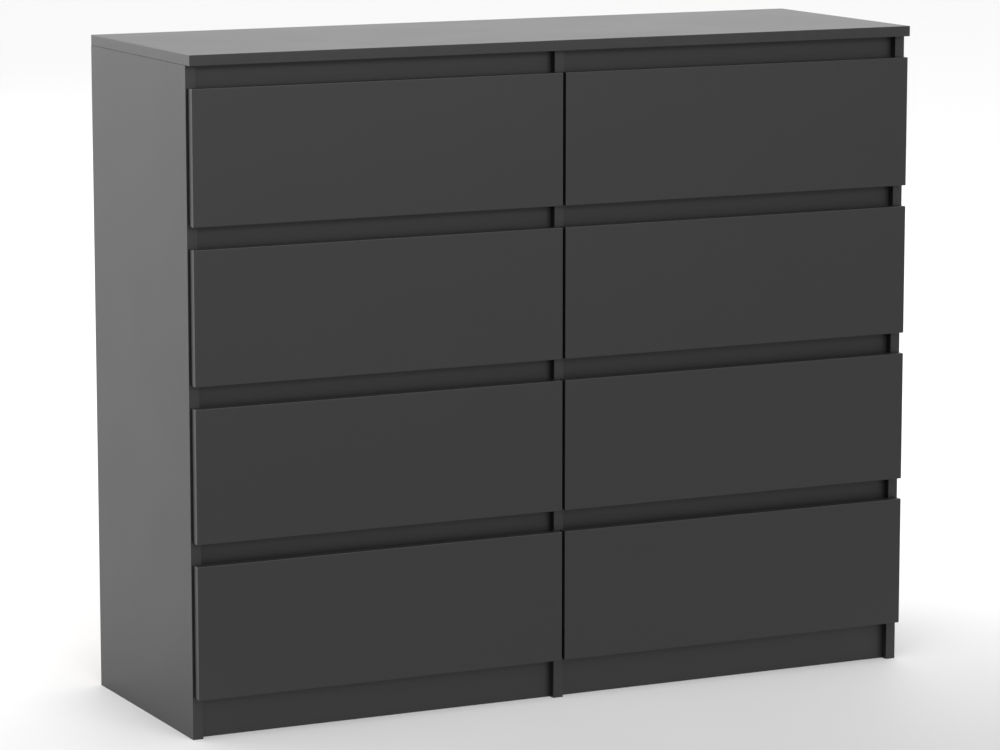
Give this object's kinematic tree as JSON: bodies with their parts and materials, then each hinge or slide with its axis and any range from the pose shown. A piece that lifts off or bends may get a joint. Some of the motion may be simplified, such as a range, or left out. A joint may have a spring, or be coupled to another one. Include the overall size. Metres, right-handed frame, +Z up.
{
  "type": "chest of drawers",
  "caption": "Wide low chest with two columns of handleless drawers; overlay fronts stand apart so fingers reach each upper edge; overhanging flat top and recessed plinth.",
  "frame": {"origin": "on the floor, under the middle of the chest's outline", "axes": "+Z up; +X to the right for a person who faces the drawers; the fronts face -Y"},
  "size_m": [1.2, 0.403, 1.008],
  "materials": {
    "anthracite_board": "fine-textured melamine foil on chipboard, satin",
    "drawer_board": "smooth pale grey foil on chipboard",
    "bottom_hardboard": "lacquered hardboard, pale grey face",
    "back_hardboard": "bare brown hardboard",
    "coated_steel": "epoxy powder coat, satin",
    "zinc_fittings": "zinc plated",
    "nylon": "moulded nylon, satin",
    "beech": "fluted beech dowel, bare"
  },
  "bodies": {
    "carcass": {"top_panel": "anthracite_board", "left_side_panel": "anthracite_board", "centre_divider": "anthracite_board", "right_side_panel": "anthracite_board", "bottom_panels": "anthracite_board", "plinths": "anthracite_board", "front_rails": "anthracite_board", "back_panels": "back_hardboard", "carcass_tracks": "coated_steel", "carcass_cam_fittings": "zinc_fittings", "carcass_dowels": "beech", "carcass_screws_and_nails": "zinc_fittings"},
    "drawer_left_1": {"drawer_left_1_front": "anthracite_board", "drawer_left_1_box": "drawer_board", "drawer_left_1_bottom": "bottom_hardboard", "drawer_left_1_runners": "coated_steel"},
    "drawer_left_1_rollers": {"drawer_left_1_rollers": "nylon"},
    "track_left_1_rollers": {"track_left_1_rollers": "nylon"},
    "drawer_left_2": {"drawer_left_2_front": "anthracite_board", "drawer_left_2_box": "drawer_board", "drawer_left_2_bottom": "bottom_hardboard", "drawer_left_2_runners": "coated_steel"},
    "drawer_left_2_rollers": {"drawer_left_2_rollers": "nylon"},
    "track_left_2_rollers": {"track_left_2_rollers": "nylon"},
    "drawer_left_3": {"drawer_left_3_front": "anthracite_board", "drawer_left_3_box": "drawer_board", "drawer_left_3_bottom": "bottom_hardboard", "drawer_left_3_runners": "coated_steel"},
    "drawer_left_3_rollers": {"drawer_left_3_rollers": "nylon"},
    "track_left_3_rollers": {"track_left_3_rollers": "nylon"},
    "drawer_left_4": {"drawer_left_4_front": "anthracite_board", "drawer_left_4_box": "drawer_board", "drawer_left_4_bottom": "bottom_hardboard", "drawer_left_4_runners": "coated_steel"},
    "drawer_left_4_rollers": {"drawer_left_4_rollers": "nylon"},
    "track_left_4_rollers": {"track_left_4_rollers": "nylon"},
    "drawer_right_1": {"drawer_right_1_front": "anthracite_board", "drawer_right_1_box": "drawer_board", "drawer_right_1_bottom": "bottom_hardboard", "drawer_right_1_runners": "coated_steel"},
    "drawer_right_1_rollers": {"drawer_right_1_rollers": "nylon"},
    "track_right_1_rollers": {"track_right_1_rollers": "nylon"},
    "drawer_right_2": {"drawer_right_2_front": "anthracite_board", "drawer_right_2_box": "drawer_board", "drawer_right_2_bottom": "bottom_hardboard", "drawer_right_2_runners": "coated_steel"},
    "drawer_right_2_rollers": {"drawer_right_2_rollers": "nylon"},
    "track_right_2_rollers": {"track_right_2_rollers": "nylon"},
    "drawer_right_3": {"drawer_right_3_front": "anthracite_board", "drawer_right_3_box": "drawer_board", "drawer_right_3_bottom": "bottom_hardboard", "drawer_right_3_runners": "coated_steel"},
    "drawer_right_3_rollers": {"drawer_right_3_rollers": "nylon"},
    "track_right_3_rollers": {"track_right_3_rollers": "nylon"},
    "drawer_right_4": {"drawer_right_4_front": "anthracite_board", "drawer_right_4_box": "drawer_board", "drawer_right_4_bottom": "bottom_hardboard", "drawer_right_4_runners": "coated_steel"},
    "drawer_right_4_rollers": {"drawer_right_4_rollers": "nylon"},
    "track_right_4_rollers": {"track_right_4_rollers": "nylon"}
  },
  "joints": [
    {"name": "drawer_left_1_slide", "type": "slide", "parent": "carcass", "child": "drawer_left_1", "axis": [0, -1, 0], "range_m": [0, 0.26]},
    {"name": "drawer_left_1_rollers_spin", "type": "hinge", "parent": "drawer_left_1", "child": "drawer_left_1_rollers", "pos_m": [-0.296, 0.1525, 0.7958], "axis": [1, 0, 0], "range_deg": [0, 1900]},
    {"name": "track_left_1_rollers_spin", "type": "hinge", "parent": "carcass", "child": "track_left_1_rollers", "pos_m": [-0.296, -0.1705, 0.7995], "axis": [1, 0, 0], "range_deg": [0, 1900]},
    {"name": "drawer_left_2_slide", "type": "slide", "parent": "carcass", "child": "drawer_left_2", "axis": [0, -1, 0], "range_m": [0, 0.26]},
    {"name": "drawer_left_2_rollers_spin", "type": "hinge", "parent": "drawer_left_2", "child": "drawer_left_2_rollers", "pos_m": [-0.296, 0.1525, 0.5633], "axis": [1, 0, 0], "range_deg": [0, 1900]},
    {"name": "track_left_2_rollers_spin", "type": "hinge", "parent": "carcass", "child": "track_left_2_rollers", "pos_m": [-0.296, -0.1705, 0.567], "axis": [1, 0, 0], "range_deg": [0, 1900]},
    {"name": "drawer_left_3_slide", "type": "slide", "parent": "carcass", "child": "drawer_left_3", "axis": [0, -1, 0], "range_m": [0, 0.26]},
    {"name": "drawer_left_3_rollers_spin", "type": "hinge", "parent": "drawer_left_3", "child": "drawer_left_3_rollers", "pos_m": [-0.296, 0.1525, 0.3308], "axis": [1, 0, 0], "range_deg": [0, 1900]},
    {"name": "track_left_3_rollers_spin", "type": "hinge", "parent": "carcass", "child": "track_left_3_rollers", "pos_m": [-0.296, -0.1705, 0.3345], "axis": [1, 0, 0], "range_deg": [0, 1900]},
    {"name": "drawer_left_4_slide", "type": "slide", "parent": "carcass", "child": "drawer_left_4", "axis": [0, -1, 0], "range_m": [0, 0.26]},
    {"name": "drawer_left_4_rollers_spin", "type": "hinge", "parent": "drawer_left_4", "child": "drawer_left_4_rollers", "pos_m": [-0.296, 0.1525, 0.0983], "axis": [1, 0, 0], "range_deg": [0, 1900]},
    {"name": "track_left_4_rollers_spin", "type": "hinge", "parent": "carcass", "child": "track_left_4_rollers", "pos_m": [-0.296, -0.1705, 0.102], "axis": [1, 0, 0], "range_deg": [0, 1900]},
    {"name": "drawer_right_1_slide", "type": "slide", "parent": "carcass", "child": "drawer_right_1", "axis": [0, -1, 0], "range_m": [0, 0.26]},
    {"name": "drawer_right_1_rollers_spin", "type": "hinge", "parent": "drawer_right_1", "child": "drawer_right_1_rollers", "pos_m": [0.296, 0.1525, 0.7958], "axis": [1, 0, 0], "range_deg": [0, 1900]},
    {"name": "track_right_1_rollers_spin", "type": "hinge", "parent": "carcass", "child": "track_right_1_rollers", "pos_m": [0.296, -0.1705, 0.7995], "axis": [1, 0, 0], "range_deg": [0, 1900]},
    {"name": "drawer_right_2_slide", "type": "slide", "parent": "carcass", "child": "drawer_right_2", "axis": [0, -1, 0], "range_m": [0, 0.26]},
    {"name": "drawer_right_2_rollers_spin", "type": "hinge", "parent": "drawer_right_2", "child": "drawer_right_2_rollers", "pos_m": [0.296, 0.1525, 0.5633], "axis": [1, 0, 0], "range_deg": [0, 1900]},
    {"name": "track_right_2_rollers_spin", "type": "hinge", "parent": "carcass", "child": "track_right_2_rollers", "pos_m": [0.296, -0.1705, 0.567], "axis": [1, 0, 0], "range_deg": [0, 1900]},
    {"name": "drawer_right_3_slide", "type": "slide", "parent": "carcass", "child": "drawer_right_3", "axis": [0, -1, 0], "range_m": [0, 0.26]},
    {"name": "drawer_right_3_rollers_spin", "type": "hinge", "parent": "drawer_right_3", "child": "drawer_right_3_rollers", "pos_m": [0.296, 0.1525, 0.3308], "axis": [1, 0, 0], "range_deg": [0, 1900]},
    {"name": "track_right_3_rollers_spin", "type": "hinge", "parent": "carcass", "child": "track_right_3_rollers", "pos_m": [0.296, -0.1705, 0.3345], "axis": [1, 0, 0], "range_deg": [0, 1900]},
    {"name": "drawer_right_4_slide", "type": "slide", "parent": "carcass", "child": "drawer_right_4", "axis": [0, -1, 0], "range_m": [0, 0.26]},
    {"name": "drawer_right_4_rollers_spin", "type": "hinge", "parent": "drawer_right_4", "child": "drawer_right_4_rollers", "pos_m": [0.296, 0.1525, 0.0983], "axis": [1, 0, 0], "range_deg": [0, 1900]},
    {"name": "track_right_4_rollers_spin", "type": "hinge", "parent": "carcass", "child": "track_right_4_rollers", "pos_m": [0.296, -0.1705, 0.102], "axis": [1, 0, 0], "range_deg": [0, 1900]}
  ],
  "couplings": [
    {"joint": "drawer_left_1_rollers_spin", "follows": "drawer_left_1_slide", "rad_per_m": 125},
    {"joint": "track_left_1_rollers_spin", "follows": "drawer_left_1_slide", "rad_per_m": 125},
    {"joint": "drawer_left_2_rollers_spin", "follows": "drawer_left_2_slide", "rad_per_m": 125},
    {"joint": "track_left_2_rollers_spin", "follows": "drawer_left_2_slide", "rad_per_m": 125},
    {"joint": "drawer_left_3_rollers_spin", "follows": "drawer_left_3_slide", "rad_per_m": 125},
    {"joint": "track_left_3_rollers_spin", "follows": "drawer_left_3_slide", "rad_per_m": 125},
    {"joint": "drawer_left_4_rollers_spin", "follows": "drawer_left_4_slide", "rad_per_m": 125},
    {"joint": "track_left_4_rollers_spin", "follows": "drawer_left_4_slide", "rad_per_m": 125},
    {"joint": "drawer_right_1_rollers_spin", "follows": "drawer_right_1_slide", "rad_per_m": 125},
    {"joint": "track_right_1_rollers_spin", "follows": "drawer_right_1_slide", "rad_per_m": 125},
    {"joint": "drawer_right_2_rollers_spin", "follows": "drawer_right_2_slide", "rad_per_m": 125},
    {"joint": "track_right_2_rollers_spin", "follows": "drawer_right_2_slide", "rad_per_m": 125},
    {"joint": "drawer_right_3_rollers_spin", "follows": "drawer_right_3_slide", "rad_per_m": 125},
    {"joint": "track_right_3_rollers_spin", "follows": "drawer_right_3_slide", "rad_per_m": 125},
    {"joint": "drawer_right_4_rollers_spin", "follows": "drawer_right_4_slide", "rad_per_m": 125},
    {"joint": "track_right_4_rollers_spin", "follows": "drawer_right_4_slide", "rad_per_m": 125}
  ]
}
